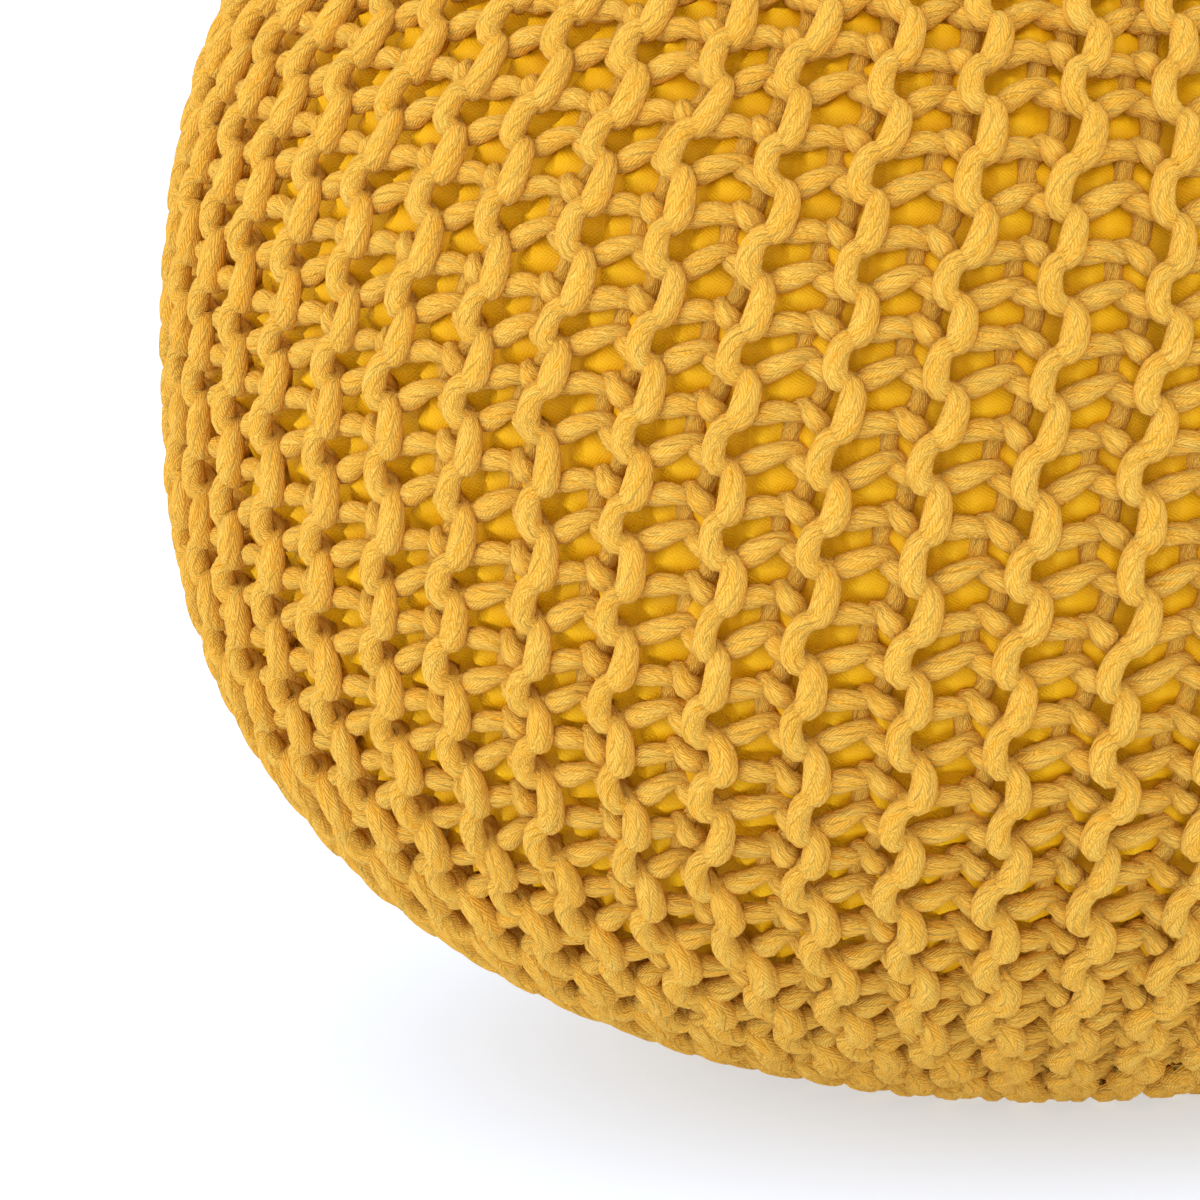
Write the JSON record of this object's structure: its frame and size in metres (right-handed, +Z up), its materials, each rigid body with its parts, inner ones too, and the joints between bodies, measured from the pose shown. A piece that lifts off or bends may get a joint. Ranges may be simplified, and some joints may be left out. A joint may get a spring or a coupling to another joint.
{
  "type": "knitted pouf",
  "caption": "Round pouf: a cover knitted in thick cotton cord, with raised ridges from eye to eye, over a filled cushion in a plain casing.",
  "frame": {"origin": "middle of the base, on the surface that the pouf stands on", "axes": "+Z up, through both eyes of the cover; a ridge lies on each of +X, -X, +Y and -Y at the waist"},
  "size_m": [0.4568, 0.4568, 0.355],
  "materials": {
    "knit_cord": "mustard yellow twisted cotton cord, matt, knitted in ridges",
    "casing": "golden yellow plain woven cotton, slightly sheeny"
  },
  "bodies": {
    "root": {"knit_cover": "knit_cord", "inner_cushion": "casing"}
  },
  "joints": []
}
